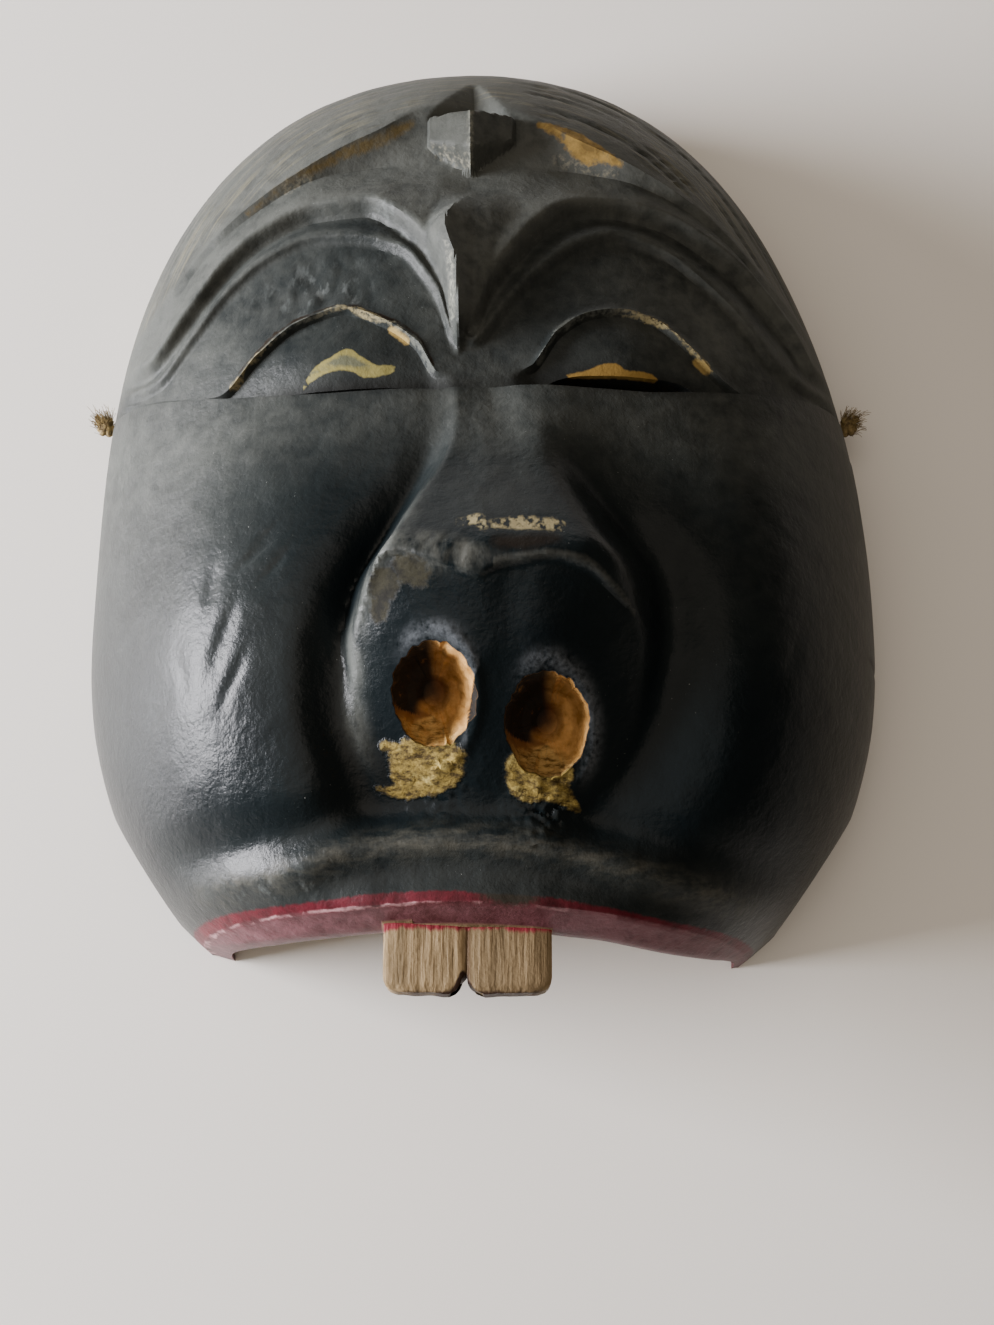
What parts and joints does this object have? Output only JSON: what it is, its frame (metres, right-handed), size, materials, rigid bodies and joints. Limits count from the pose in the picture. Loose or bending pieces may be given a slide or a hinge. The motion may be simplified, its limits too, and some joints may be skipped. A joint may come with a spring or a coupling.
{
  "type": "wooden half mask",
  "caption": "Carved and painted wooden half mask with a broad snout nose, narrow sight slits, an open mouth with upper teeth and a tie cord.",
  "frame": {"origin": "on the plane of the rim's flat back, under the middle of the mask's box without its cord", "axes": "+Z out of the face away from the wearer, +Y up the face to the crown, +X to the viewer's right"},
  "size_m": [0.1576, 0.1934, 0.0775],
  "materials": {
    "painted_wood": "carved light wood under worn blue-black enamel, with a crimson lip, cream teeth and yellow irises",
    "natural_fibre": "twisted natural fibre cord, matt and frayed"
  },
  "bodies": {
    "root": {"mask": "painted_wood", "cord": "natural_fibre", "knot_left": "natural_fibre", "knot_right": "natural_fibre"}
  },
  "joints": []
}
